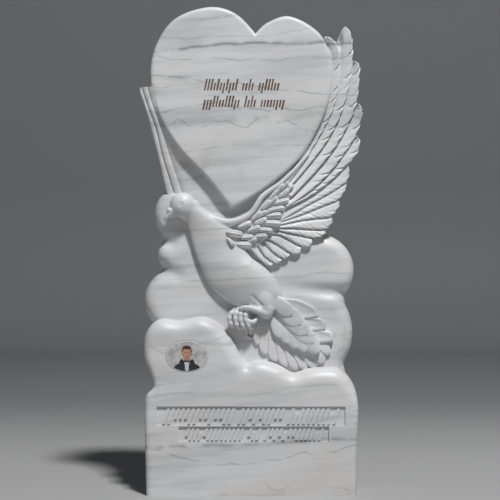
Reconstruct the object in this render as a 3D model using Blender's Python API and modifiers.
"""A carved marble grave monument: a heart on a bank of clouds, with a dove in flight across it.

The monument is one block of stone with a flat sawn back and underside. Its front is carved in high
relief. An oval ceramic plaque sits in a shallow seat cut in the lower cloud.

Axes: +X across the face to the viewer's right, -Y out of the carved face, +Z up.
Origin: the middle of the underside, halfway through the block. Units are metres.
"""

import math

import bmesh
import bpy
from mathutils import Matrix, Vector

# The plain base's width, the whole height and the thickness of the sawn block
BASE_WIDTH = 0.600
BLOCK_HEIGHT = 1.400
BLOCK_DEPTH = 0.150
BACK_Y = BLOCK_DEPTH / 2

# The carver's drawing is squared up: 60 columns across the base's width and 140 rows up the height.
# Every (x, z) pair and every half width below counts those squares, 10 mm each at this size.
COLUMN = BASE_WIDTH / 60
ROW = BLOCK_HEIGHT / 140

# Thickness of stone that each carved level keeps in front of the sawn back
WEB_THICKNESS = 0.092
CLOUD_THICKNESS = 0.098
LEFT_WING_THICKNESS = 0.084
LEFT_WING_STEP = 0.002
HEART_THICKNESS = 0.127
WING_ROOT_THICKNESS = 0.128
LONG_TIP_THICKNESS = 0.108
SHORT_TIP_THICKNESS = 0.122
TAIL_ROOT_THICKNESS = 0.116
TAIL_TIP_THICKNESS = 0.109

# Rounding worked along the edges of the carving
SHOULDER_ROUNDING = 0.040
SIDE_ROUNDING = 0.014
FOOT_ROUNDING = 0.003
PUFF_ROUNDING = 0.034
BANK_ROUNDING = 0.020
HEART_ROUNDING = 0.010
FEATHER_ROUNDING = 0.004
THIN_ROUNDING = 0.003
TAIL_COVERT_ROUNDING = 0.006

# The ceramic plaque and the seat cut for it
PLAQUE_WIDTH = 0.120
PLAQUE_HEIGHT = 0.090
PLAQUE_THICKNESS = 0.005
PLAQUE_RIM_RADIUS = 0.002
PLAQUE_CLEARANCE = 0.0008
PLAQUE_BED = 0.0003
SEAT_DEPTH = 0.004
PLAQUE_AT = (-18.3, 39.9)

# The two sunken name panels: centre, width and height in squares, and how deep they are cut
PANEL_DEPTH = 0.004
PANELS = ((0.0, 22.85, 53.8, 5.5), (0.8, 17.7, 42.9, 4.4))

# How far the cutters and the rough carving run past the finished faces, and how much further back each
# piece of rough carving starts than the one before, so that no two share a plane
OVERRUN = 0.02
BACK_STAGGER = 0.0003

# The base with the lower cloud at its left: one outline, from the left foot round to the right foot
FRONT_BLOCK = (
    (-29.9, 0.0), (-30.1, 8.0), (-30.3, 16.0), (-30.4, 24.0), (-30.0, 28.5), (-27.9, 31.2),
    (-28.6, 34.7), (-30.3, 38.8), (-30.8, 42.8), (-30.1, 46.4), (-28.1, 49.3), (-25.2, 50.5),
    (-20.3, 50.0), (-14.8, 51.1), (-10.7, 50.1), (-7.7, 47.6), (-4.9, 43.6), (-2.9, 39.7),
    (-1.3, 37.6), (1.2, 38.5), (4.4, 38.4), (8.4, 37.0), (12.2, 35.0), (16.0, 36.1),
    (20.6, 36.6), (25.2, 36.1), (28.4, 33.4), (30.1, 29.5), (30.7, 24.5), (30.4, 15.9),
    (30.2, 8.0), (30.2, 0.0),
)
FRONT_BLOCK_CORNERS = (0, 31)

# Where the base's small rounding gives way to the wide one over its shoulders, in squares: the top of
# the foot, the top of the plain sides, the rise over which it widens, and the same for the lower cloud,
# which lies left of its own line and widens from higher up
FOOT_TOP = 1.0
SIDE_TOP = 26.0
SHOULDER_RISE = 9.0
LOWER_CLOUD_X = -27.0
LOWER_CLOUD_TOP = 34.0
LOWER_CLOUD_RISE = 14.0

# The bank of cloud behind the dove
CLOUD_BANK = (
    (-23.0, 30.0), (-26.8, 40.0), (-27.3, 49.8), (-26.9, 58.0), (-25.9, 65.0), (-25.7, 69.5),
    (-25.5, 74.2), (-24.5, 81.0), (-18.0, 84.0), (-8.0, 83.0), (4.0, 83.0), (14.0, 77.0),
    (22.5, 72.0), (26.6, 65.0), (27.2, 58.2), (27.0, 50.0), (26.4, 40.0), (23.0, 30.0),
)

# Its round puffs: centre, half width and half height, and how much higher they stand than the bank
PUFFS = {
    "puff_by_head": ((-20.9, 80.5), (7.2, 7.8), 0.0015),
    "puff_ball": ((-22.7, 68.9), (4.6, 4.7), 0.0060),
    "puff_left": ((-20.4, 55.5), (10.6, 9.8), 0.0035),
    "puff_right_upper": ((19.2, 64.3), (10.7, 10.6), 0.0045),
    "puff_right_lower": ((19.8, 46.4), (9.7, 12.6), 0.0025),
}

# The heart: from the notch round the left lobe to the tip and back up
HEART = (
    (1.3, 132.3), (-4.6, 138.2), (-12.6, 139.9), (-22.8, 135.8), (-28.5, 125.3), (-27.9, 112.6),
    (-21.8, 100.6), (-12.4, 90.4), (-5.7, 81.9), (3.9, 87.6), (14.0, 96.5), (21.0, 108.9),
    (23.5, 121.0), (20.3, 131.6), (11.6, 137.2), (4.9, 135.6),
)
HEART_CORNERS = (0, 8)

# The far wing: each feather's outer edge and inner edge, from the tip down, and the tip between them
LEFT_WING = (
    (((-32.4, 116.4), (-30.0, 108.0), (-26.7, 95.1), (-22.9, 83.0)),
     ((-31.0, 116.8), (-28.4, 107.0), (-24.8, 94.0), (-21.0, 84.0))),
    (((-31.3, 116.5), (-28.6, 107.0), (-25.0, 94.0), (-21.2, 84.0)),
     ((-29.3, 116.8), (-26.6, 106.0), (-22.8, 94.0), (-18.0, 83.0))),
    (((-29.6, 116.6), (-26.8, 106.0), (-23.0, 94.0), (-19.0, 82.0)),
     ((-24.0, 117.0), (-18.0, 104.0), (-9.0, 91.0), (-4.0, 78.0))),
)

# The near wing: root, tip and half width of each flight feather, from the leading edge down
RIGHT_WING = (
    ((7.4, 89.4), (22.9, 131.4), 2.0),
    ((11.1, 88.5), (27.3, 134.8), 2.1),
    ((11.8, 86.8), (30.7, 124.8), 2.1),
    ((11.1, 83.9), (31.4, 112.5), 2.2),
    ((10.6, 82.2), (31.1, 102.7), 2.2),
    ((9.7, 80.8), (28.2, 95.0), 2.0),
    ((9.4, 79.1), (27.4, 89.6), 1.9),
    ((9.2, 78.2), (25.4, 84.3), 1.9),
    ((8.9, 77.1), (23.4, 79.7), 1.9),
    ((8.3, 75.9), (21.7, 75.3), 1.8),
    ((6.0, 75.4), (17.6, 72.0), 1.8),
    ((4.9, 74.2), (14.1, 70.0), 1.7),
    ((4.3, 73.0), (11.0, 68.6), 1.6),
    ((3.1, 71.4), (8.1, 66.9), 1.5),
    ((1.4, 69.9), (5.0, 65.7), 1.4),
)
ROOT_UNDERLAP = 2.5
ROOT_WIDTH_SHARE = 0.45
MIDDLE_BULGE = 0.3
LONG_FEATHERS = 5
LONGEST_SWEEP = 0.13
SWEPT_FEATHERS = 9
FEATHER_TILT = 0.10
POINTED_TIP = 1.5
ROUND_TIP = 0.25

# The thin web of stone that carries the near wing's feathers
WING_WEB = (
    (-6.0, 76.0), (-6.0, 84.0), (2.0, 90.0), (13.0, 99.0), (19.0, 107.0), (22.0, 116.0),
    (23.0, 126.0), (27.0, 126.0), (28.5, 115.0), (28.0, 103.0), (25.5, 92.5), (20.5, 78.0),
    (13.0, 71.5), (4.0, 68.0), (-2.0, 70.0),
)

# The arm of the near wing, from the shoulder to past the wrist: x, z, thickness and half width
WING_ARM = (
    (-9.5, 77.6, 0.112, 1.5),
    (-5.7, 78.0, 0.118, 1.5),
    (-1.7, 79.4, 0.122, 1.4),
    (1.4, 82.4, 0.123, 1.3),
    (4.4, 85.3, 0.122, 1.1),
    (8.6, 88.7, 0.119, 0.9),
    (13.6, 94.2, 0.113, 0.6),
)

# The bed of stone that the coverts are carved on
COVERT_BED = ((-6.5, 76.0), (1.5, 81.0), (9.5, 88.0), (9.0, 83.0), (5.0, 75.0), (-2.5, 71.5))
COVERT_BED_THICKNESS = 0.128

# Coverts: rows of plump little feathers along the arm, from the shoulder to the wrist
COVERT_THICKNESS_AT_SHOULDER = 0.130
COVERT_THICKNESS_AT_WRIST = 0.127
COVERT_SWELL = 0.012
COVERT_ROWS = 3
COVERTS_IN_ROW = 7
COVERTS_START = (-5.0, 74.6)
COVERTS_END = (9.6, 86.2)
COVERT_ROW_STEP = 2.3
COVERT_HALF_LENGTH = 2.5
COVERT_HALF_WIDTH = 1.15
COVERT_WRIST_SCALE = 0.75
COVERT_TURN_AT_SHOULDER = -6.0
COVERT_TURN_AT_WRIST = 44.0
COVERT_ROW_TURN = 7.0
COVERT_ROW_DROP = 0.0015

# Tail fan: the root, the first and last angle below the horizontal, and each feather's reach
TAIL_ROOT = (4.9, 55.9)
TAIL_FIRST_ANGLE = 15.0
TAIL_LAST_ANGLE = 118.0
TAIL_REACH = (14.3, 17.9, 21.4, 23.3, 24.0, 24.0, 23.7, 22.9, 21.5, 20.0, 18.0, 16.3, 14.6, 13.0)
TAIL_HALF_WIDTH = 1.7
TAIL_HIDDEN_LENGTH = 4.0
TAIL_TILT = 0.05

# Tail coverts: the tips of the broad feathers that lap over the tail's root, longest first
TAIL_COVERT_ROOT = (5.4, 57.0)
TAIL_COVERT_TIPS = ((18.9, 40.8), (17.2, 43.3), (15.4, 46.0), (13.6, 48.7), (11.4, 51.4))
TAIL_COVERT_HALF_WIDTHS = (3.5, 2.7)
TAIL_COVERT_ROOT_THICKNESS = 0.128
TAIL_COVERT_TIP_THICKNESS = 0.122
TAIL_COVERT_STEP = 0.002
TAIL_COVERT_TILT = 0.04
TAIL_COVERT_POINT = 0.6

# The head, its cere, the thigh and the foot: centre, half sizes, turn in degrees, thickness and swell
HEAD = ((-19.9, 82.9), (4.0, 3.8), -20, 0.118, 0.024)
CERE = ((-23.4, 81.9), (0.8, 0.7), 0, 0.129, 0.006)
THIGH = ((3.4, 57.0), (3.8, 5.2), 25, 0.122, 0.028)
FOOT = ((-3.2, 51.2), (3.3, 3.2), 0, 0.122, 0.022)

# Beak, leg and hind toe: x, z, thickness and half width from the root to the end
BEAK = ((-22.6, 82.3, 0.124, 1.1), (-23.8, 80.9, 0.123, 0.8), (-24.7, 78.8, 0.119, 0.25))
LEG = (
    (5.6, 52.8, 0.124, 2.0),
    (3.4, 52.3, 0.131, 1.7),
    (0.2, 53.5, 0.134, 1.25),
    (-2.8, 53.4, 0.133, 1.1),
)
HIND_TOE = ((-1.8, 51.0, 0.128, 0.9), (-0.2, 49.3, 0.130, 0.8), (1.4, 50.6, 0.130, 0.35))

# The clenched front toes: the first knuckle, the step to the next, and each toe's three joints
FIRST_TOE = (-5.7, 52.9)
TOE_STEP = (1.4, -0.2)
TOE_JOINTS = ((0.0, 0.0, 0.131, 0.8), (-0.3, -2.0, 0.139, 0.85), (0.3, -4.4, 0.133, 0.5))
TOES = 4

# The dove's body: points on the left and right of its outline, the stone's thickness at its middle
# and how far it swells out from there, from the crop down to the tail
BODY_SIDES = 20
BODY = (
    ((-22.0, 80.2), (-15.4, 84.6), 0.116, 0.014),
    ((-18.8, 78.2), (-13.7, 82.2), 0.115, 0.017),
    ((-18.0, 75.9), (-10.3, 79.9), 0.114, 0.021),
    ((-17.2, 73.1), (-6.6, 78.2), 0.112, 0.027),
    ((-16.0, 68.8), (-2.3, 73.1), 0.110, 0.033),
    ((-14.6, 65.1), (-0.3, 68.5), 0.109, 0.037),
    ((-12.6, 61.1), (3.1, 65.9), 0.108, 0.040),
    ((-10.3, 58.2), (5.4, 63.9), 0.108, 0.040),
    ((-6.6, 55.3), (7.4, 61.4), 0.109, 0.036),
    ((-2.3, 53.1), (8.6, 58.8), 0.110, 0.029),
    ((2.0, 51.4), (9.2, 56.2), 0.109, 0.018),
)


def at(x, z, thickness=0.0):
    """The point on drawing square (x, z) with that thickness of stone behind it."""
    return Vector((x * COLUMN, BACK_Y - thickness, z * ROW))


def lerp(a, b, t):
    """The value a share t of the way from a to b."""
    return a + (b - a) * t


def new_collection(name):
    """An empty collection linked to the scene."""
    collection = bpy.data.collections.new(name)
    bpy.context.scene.collection.children.link(collection)
    return collection


def new_object(name, data, collection):
    """An object of that data in that collection."""
    obj = bpy.data.objects.new(name, data)
    collection.objects.link(obj)
    return obj


def principled(name, colour, roughness, coat=0.0):
    """A plain Principled material."""
    material = bpy.data.materials.new(name)
    material.use_nodes = True
    shader = material.node_tree.nodes["Principled BSDF"]
    shader.inputs["Base Color"].default_value = (*colour, 1.0)
    shader.inputs["Roughness"].default_value = roughness
    shader.inputs["Metallic"].default_value = 0.0
    shader.inputs["Coat Weight"].default_value = coat
    material.diffuse_color = (*colour, 1.0)
    return material


def loft(name, rings, collection):
    """A closed solid through rings of equally many points, with a flat cap at each end."""
    mesh = bpy.data.meshes.new(name)
    bm = bmesh.new()
    loops = [[bm.verts.new(point) for point in ring] for ring in rings]
    count = len(rings[0])
    for ring, following in zip(loops, loops[1:]):
        for i in range(count):
            j = (i + 1) % count
            bm.faces.new((ring[i], ring[j], following[j], following[i]))
    bm.faces.new(loops[0][::-1])
    bm.faces.new(loops[-1])
    bmesh.ops.recalc_face_normals(bm, faces=bm.faces)
    if bm.calc_volume(signed=True) < 0:
        bmesh.ops.reverse_faces(bm, faces=bm.faces)
    bm.to_mesh(mesh)
    bm.free()
    return new_object(name, mesh, collection)


def smooth_outline(points, steps, corners=()):
    """A closed outline through the points, with that many steps a span, sharp only at the corners."""
    found = []
    count = len(points)
    knots = [Vector(point) for point in points]
    slopes = [
        Vector((0.0, 0.0)) if i in corners else (knots[(i + 1) % count] - knots[i - 1]) / 2
        for i in range(count)
    ]
    for i in range(count):
        j = (i + 1) % count
        straight = i in corners and j in corners
        for step in range(1 if straight else steps):
            t = step / steps
            found.append(
                knots[i] * (2 * t**3 - 3 * t**2 + 1)
                + slopes[i] * (t**3 - 2 * t**2 + t)
                + knots[j] * (3 * t**2 - 2 * t**3)
                + slopes[j] * (t**3 - t**2)
            )
    return found


def inward(outline):
    """For each point of a closed outline, the direction that leads straight in from the edge."""
    count = len(outline)
    area = sum(
        outline[i].x * outline[(i + 1) % count].y - outline[(i + 1) % count].x * outline[i].y
        for i in range(count)
    )
    side = 1.0 if area > 0 else -1.0
    found = []
    for i in range(count):
        before = (outline[i] - outline[i - 1]).normalized()
        after = (outline[(i + 1) % count] - outline[i]).normalized()
        along = (before + after).normalized()
        slant = max(along.dot(after), 0.6)
        found.append(Vector((-along.y, along.x)) * side / slant)
    return found


def carved_plate(name, outline, front, rounding, steps, collection, back=-OVERRUN):
    """A flat-faced shape cut back from its outline, with its front rim rounded.

    front is the thickness of stone at its face, or a function of (x, z) that gives it.
    rounding is the rim's radius in metres, or a function of (x, z) that gives it.
    """
    outline = [Vector(point) for point in outline]
    ways = inward(outline)
    level = front if callable(front) else lambda x, z: front
    radius = rounding if callable(rounding) else lambda x, z: rounding
    back -= BACK_STAGGER * len(collection.objects)
    rings = [[at(p.x, p.y, back) for p in outline]]
    for step in range(steps + 1):
        angle = math.pi / 2 * step / steps
        ring = []
        for point, way in zip(outline, ways):
            r = radius(point.x, point.y)
            moved = point + way * r * (1 - math.cos(angle)) / ROW
            drop = r * (1 - math.sin(angle))
            ring.append(at(moved.x, moved.y, level(moved.x, moved.y) - drop))
        rings.append(ring)
    return loft(name, rings, collection)


def oval_points(centre, radii, count):
    """An oval outline in drawing squares."""
    return [
        (centre[0] + radii[0] * math.cos(angle), centre[1] + radii[1] * math.sin(angle))
        for angle in (2 * math.pi * i / count for i in range(count))
    ]


def feather_outline(root, tip, half, sweep=0.0, pointed=ROUND_TIP, steps=5, tip_steps=5):
    """The outline of a feather from root to tip, bowed to the right by sweep, a share of its length.

    It widens from a narrow root. pointed draws the tip out, as a share of its half width.
    """
    root, tip = Vector(root), Vector(tip)
    chord = tip - root
    reach = half * (1 + pointed)
    bow = root.lerp(tip, 0.5) + Vector((chord.y, -chord.x)) * 2 * sweep
    end = tip - (tip - bow).normalized() * reach
    line = []
    for step in range(steps + 1):
        t = step / steps
        line.append(root * (1 - t) ** 2 + bow * 2 * t * (1 - t) + end * t**2)
    left, right = [], []
    for index, point in enumerate(line):
        along = (line[min(index + 1, steps)] - line[max(index - 1, 0)]).normalized()
        across = Vector((-along.y, along.x))
        t = index / steps
        width = half * lerp(ROOT_WIDTH_SHARE, 1.0, math.sin(math.pi / 2 * t))
        width += half * MIDDLE_BULGE * math.sin(math.pi * t)
        left.append(point + across * width)
        right.append(point - across * width)
    along = (line[-1] - line[-2]).normalized()
    across = Vector((-along.y, along.x))
    round_tip = []
    for step in range(1, tip_steps):
        angle = math.pi * step / tip_steps
        round_tip.append(end + across * half * math.cos(angle) + along * reach * math.sin(angle))
    return left + round_tip + right[::-1]


def leaning_face(root, tip, root_thickness, tip_thickness, tilt):
    """The face of a feather that lies between two thicknesses, its right edge tilted forward."""
    root, tip = Vector(root), Vector(tip)
    chord = tip - root
    length = chord.length
    along = chord / length
    right = Vector((along.y, -along.x))

    def level(x, z):
        offset = Vector((x, z)) - root
        share = offset.dot(along) / length
        return lerp(root_thickness, tip_thickness, share) + tilt * offset.dot(right) * ROW

    return level


def tube(name, stations, collection, sides=2):
    """A tapering limb through stations of x, z, thickness and half width."""
    curve = bpy.data.curves.new(name, "CURVE")
    curve.dimensions = "3D"
    curve.bevel_depth = 1.0
    curve.bevel_resolution = sides
    curve.use_fill_caps = True
    curve.resolution_u = 2
    spline = curve.splines.new("BEZIER")
    spline.bezier_points.add(len(stations) - 1)
    for point, (x, z, thickness, radius) in zip(spline.bezier_points, stations):
        point.co = at(x, z, thickness)
        point.radius = radius * ROW
        point.handle_left_type = "AUTO"
        point.handle_right_type = "AUTO"
    drawn = new_object(name + "_line", curve, collection)
    bpy.context.view_layer.update()
    graph = bpy.context.evaluated_depsgraph_get()
    mesh = bpy.data.meshes.new_from_object(drawn.evaluated_get(graph))
    bpy.data.curves.remove(curve)
    bm = bmesh.new()
    bm.from_mesh(mesh)
    bmesh.ops.remove_doubles(bm, verts=bm.verts, dist=1e-5)
    bmesh.ops.recalc_face_normals(bm, faces=bm.faces)
    bm.to_mesh(mesh)
    bm.free()
    return new_object(name, mesh, collection)


def bulb(name, centre, radii, turn, thickness, swell, collection, rings=6):
    """A rounded swelling centred at that thickness, standing out by swell, turned anticlockwise."""
    mesh = bpy.data.meshes.new(name)
    bm = bmesh.new()
    bmesh.ops.create_uvsphere(bm, u_segments=2 * rings, v_segments=rings, radius=1.0)
    bmesh.ops.rotate(bm, verts=bm.verts, matrix=Matrix.Rotation(math.radians(90), 3, "X"))
    bmesh.ops.scale(bm, verts=bm.verts, vec=(radii[0] * COLUMN, swell, radii[1] * ROW))
    bmesh.ops.rotate(bm, verts=bm.verts, matrix=Matrix.Rotation(math.radians(-turn), 3, "Y"))
    bm.to_mesh(mesh)
    bm.free()
    obj = new_object(name, mesh, collection)
    obj.location = at(*centre, thickness)
    return obj


def front_block(collection):
    """The base and the lower cloud: wide rounding over the shoulders, little down the sides."""

    def rounding(x, z):
        if z < FOOT_TOP:
            return FOOT_ROUNDING
        if z < SIDE_TOP:
            return SIDE_ROUNDING
        share = min((z - SIDE_TOP) / SHOULDER_RISE, 1.0)
        if x < LOWER_CLOUD_X:
            share = max((z - LOWER_CLOUD_TOP) / LOWER_CLOUD_RISE, 0.0)
        return lerp(SIDE_ROUNDING, SHOULDER_ROUNDING, share)

    outline = smooth_outline(FRONT_BLOCK, 2, FRONT_BLOCK_CORNERS)
    return carved_plate("front_block", outline, BLOCK_DEPTH, rounding, 4, collection)


def cloud_bank(collection):
    """The bank of cloud behind the dove, with its round puffs."""
    bank = smooth_outline(CLOUD_BANK, 2)
    carved_plate("cloud_bank", bank, CLOUD_THICKNESS, BANK_ROUNDING, 2, collection)
    for name, (centre, radii, extra) in PUFFS.items():
        outline = oval_points(centre, radii, 28)
        carved_plate(name, outline, CLOUD_THICKNESS + extra, PUFF_ROUNDING, 4, collection)


def heart(collection):
    """The tilted heart, a flat tablet that stands in front of the clouds."""
    outline = smooth_outline(HEART, 4, HEART_CORNERS)
    carved_plate("heart", outline, HEART_THICKNESS, HEART_ROUNDING, 2, collection)


def left_wing(collection):
    """The far wing: three long feathers that pass behind the heart."""
    for index, (outer, inner) in enumerate(LEFT_WING):
        outline = smooth_outline(outer + inner[::-1], 3, (0, 3, 4, 7))
        thickness = LEFT_WING_THICKNESS + LEFT_WING_STEP * index
        name = f"left_feather_{index + 1}"
        carved_plate(name, outline, thickness, THIN_ROUNDING, 1, collection)


def right_wing(collection):
    """The near wing: a web of stone, its fan of flight feathers, the arm and the coverts."""
    carved_plate("wing_web", WING_WEB, WEB_THICKNESS, THIN_ROUNDING, 1, collection)
    for index, (root, tip, half) in enumerate(RIGHT_WING):
        root = Vector(root)
        root -= (Vector(tip) - root).normalized() * ROOT_UNDERLAP
        sweep = LONGEST_SWEEP * max(1 - index / SWEPT_FEATHERS, 0.0)
        is_long = index < LONG_FEATHERS
        tip_thickness = LONG_TIP_THICKNESS if is_long else SHORT_TIP_THICKNESS
        pointed = POINTED_TIP if index == 1 else ROUND_TIP
        outline = feather_outline(root, tip, half, sweep, pointed, 6 if is_long else 3)
        face = leaning_face(root, tip, WING_ROOT_THICKNESS, tip_thickness, FEATHER_TILT)
        name = f"flight_feather_{index + 1}"
        carved_plate(name, outline, face, FEATHER_ROUNDING, 1, collection)
    tube("wing_arm", WING_ARM, collection)
    carved_plate("covert_bed", COVERT_BED, COVERT_BED_THICKNESS, THIN_ROUNDING, 1, collection)
    coverts(collection)


def coverts(collection):
    """Staggered rows of plump little feathers that lap over the roots of the flight feathers."""
    start, end = Vector(COVERTS_START), Vector(COVERTS_END)
    along = (end - start).normalized()
    down = Vector((along.y, -along.x))
    for row in range(COVERT_ROWS):
        for place in range(COVERTS_IN_ROW - row):
            share = (place + 0.5 * row) / (COVERTS_IN_ROW - 1)
            spread = lerp(1.0, COVERT_WRIST_SCALE, share)
            centre = start.lerp(end, share) + down * row * COVERT_ROW_STEP * spread
            turn = lerp(COVERT_TURN_AT_SHOULDER, COVERT_TURN_AT_WRIST, share) - COVERT_ROW_TURN * row
            size = (COVERT_HALF_LENGTH * spread, COVERT_HALF_WIDTH * spread)
            thickness = lerp(COVERT_THICKNESS_AT_SHOULDER, COVERT_THICKNESS_AT_WRIST, share)
            thickness -= COVERT_ROW_DROP * row
            name = f"covert_{row + 1}_{place + 1}"
            bulb(name, centre, size, turn, thickness, COVERT_SWELL, collection, 4)


def tail(collection):
    """The spread tail, with broad coverts lapping over its root."""
    root = Vector(TAIL_ROOT)
    last = len(TAIL_REACH) - 1
    for index, reach in enumerate(TAIL_REACH):
        angle = -math.radians(lerp(TAIL_FIRST_ANGLE, TAIL_LAST_ANGLE, index / last))
        ray = Vector((math.cos(angle), math.sin(angle)))
        tip = root + ray * reach
        start = root + ray * TAIL_HIDDEN_LENGTH
        outline = feather_outline(start, tip, TAIL_HALF_WIDTH, 0.0, 0.0, 2)
        face = leaning_face(root, tip, TAIL_ROOT_THICKNESS, TAIL_TIP_THICKNESS, TAIL_TILT)
        carved_plate(f"tail_feather_{index + 1}", outline, face, THIN_ROUNDING, 1, collection)
    root = Vector(TAIL_COVERT_ROOT)
    last = len(TAIL_COVERT_TIPS) - 1
    for index, tip in enumerate(TAIL_COVERT_TIPS):
        half = lerp(*TAIL_COVERT_HALF_WIDTHS, index / last)
        outline = feather_outline(root, tip, half, 0.0, TAIL_COVERT_POINT, 3, 6)
        tip_thickness = TAIL_COVERT_TIP_THICKNESS + TAIL_COVERT_STEP * index
        face = leaning_face(
            root, tip, TAIL_COVERT_ROOT_THICKNESS, tip_thickness, TAIL_COVERT_TILT
        )
        name = f"tail_covert_{index + 1}"
        carved_plate(name, outline, face, TAIL_COVERT_ROUNDING, 2, collection)


def dove(collection):
    """The dove's body, head, beak, thigh, leg and clenched foot."""
    rings = []
    for left, right, thickness, swell in BODY:
        left, right = Vector(left), Vector(right)
        middle, half = (left + right) / 2, (right - left) / 2
        ring = []
        for step in range(BODY_SIDES):
            angle = 2 * math.pi * step / BODY_SIDES
            place = middle + half * math.cos(angle)
            ring.append(at(place.x, place.y, thickness + swell * math.sin(angle)))
        rings.append(ring)
    loft("body", rings, collection)
    bulb("head", *HEAD, collection, rings=8)
    tube("beak", BEAK, collection)
    bulb("cere", *CERE, collection, rings=5)
    bulb("thigh", *THIGH, collection)
    tube("leg", LEG, collection)
    bulb("foot", *FOOT, collection)
    for index in range(TOES):
        x = FIRST_TOE[0] + TOE_STEP[0] * index
        z = FIRST_TOE[1] + TOE_STEP[1] * index
        joints = [(x + dx, z + dz, thickness, half) for dx, dz, thickness, half in TOE_JOINTS]
        tube(f"toe_{index + 1}", joints, collection, sides=1)
    tube("hind_toe", HIND_TOE, collection, sides=1)


def box(name, low, high, collection):
    """A box between two opposite corners."""
    low, high = Vector(low), Vector(high)
    mesh = bpy.data.meshes.new(name)
    bm = bmesh.new()
    bmesh.ops.create_cube(bm, size=1.0)
    bmesh.ops.scale(bm, verts=bm.verts, vec=[abs(side) for side in high - low])
    bm.to_mesh(mesh)
    bm.free()
    obj = new_object(name, mesh, collection)
    obj.location = (low + high) / 2
    return obj


def oval_disc(name, width, height, back, front, collection):
    """An upright oval disc between two thicknesses, centred on the plaque's place."""
    mesh = bpy.data.meshes.new(name)
    bm = bmesh.new()
    bmesh.ops.create_cone(
        bm, cap_ends=True, segments=40, radius1=0.5, radius2=0.5, depth=front - back
    )
    bmesh.ops.scale(bm, verts=bm.verts, vec=(width, height, 1.0))
    bmesh.ops.rotate(bm, verts=bm.verts, matrix=Matrix.Rotation(math.radians(90), 3, "X"))
    bm.to_mesh(mesh)
    bm.free()
    obj = new_object(name, mesh, collection)
    obj.location = at(*PLAQUE_AT, (back + front) / 2)
    return obj


def boolean(obj, operation, operand):
    """Adds an exact Boolean with one object, or with every object of a collection."""
    modifier = obj.modifiers.new(f"{operation.lower()}_{operand.name}", "BOOLEAN")
    modifier.operation = operation
    modifier.solver = "EXACT"
    if isinstance(operand, bpy.types.Collection):
        modifier.operand_type = "COLLECTION"
        modifier.collection = operand
    else:
        modifier.object = operand


def marble_stele(monument, carving, cutters):
    """The carved block: all the carving joined to the base, then trimmed to the sawn block."""
    stele = front_block(monument)
    stele.name = "marble_stele"
    cloud_bank(carving)
    heart(carving)
    left_wing(carving)
    right_wing(carving)
    tail(carving)
    dove(carving)
    boolean(stele, "UNION", carving)
    low = (-BASE_WIDTH, BACK_Y - BLOCK_DEPTH - OVERRUN, 0.0)
    high = (BASE_WIDTH, BACK_Y, BLOCK_HEIGHT + OVERRUN)
    boolean(stele, "INTERSECT", box("sawn_block", low, high, cutters))
    seat = oval_disc(
        "plaque_seat",
        PLAQUE_WIDTH + 2 * PLAQUE_CLEARANCE,
        PLAQUE_HEIGHT + 2 * PLAQUE_CLEARANCE,
        BLOCK_DEPTH - SEAT_DEPTH,
        BLOCK_DEPTH + OVERRUN,
        cutters,
    )
    boolean(stele, "DIFFERENCE", seat)
    for index, (x, z, width, height) in enumerate(PANELS):
        low = at(x - width / 2, z - height / 2, BLOCK_DEPTH - PANEL_DEPTH)
        high = at(x + width / 2, z + height / 2, BLOCK_DEPTH + OVERRUN)
        boolean(stele, "DIFFERENCE", box(f"name_panel_{index + 1}", low, high, cutters))
    stele.data.materials.append(principled("veined_marble", (0.72, 0.72, 0.71), 0.35))


def portrait_plaque(monument):
    """The oval ceramic plaque, resting in its seat."""
    back = BLOCK_DEPTH - SEAT_DEPTH + PLAQUE_BED
    front = back + PLAQUE_THICKNESS
    plaque = oval_disc("portrait_plaque", PLAQUE_WIDTH, PLAQUE_HEIGHT, back, front, monument)
    bevel = plaque.modifiers.new("rounded_rims", "BEVEL")
    bevel.width = PLAQUE_RIM_RADIUS
    bevel.segments = 2
    bevel.limit_method = "ANGLE"
    plaque.data.materials.append(principled("glazed_ceramic", (0.62, 0.62, 0.60), 0.12, 0.5))


def main():
    for obj in list(bpy.data.objects):
        bpy.data.objects.remove(obj)
    monument = new_collection("grave_monument")
    carving = new_collection("carving")
    cutters = new_collection("cutters")
    marble_stele(monument, carving, cutters)
    portrait_plaque(monument)
    for helper in [*carving.objects, *cutters.objects]:
        helper.hide_render = True
        helper.display_type = "WIRE"


main()
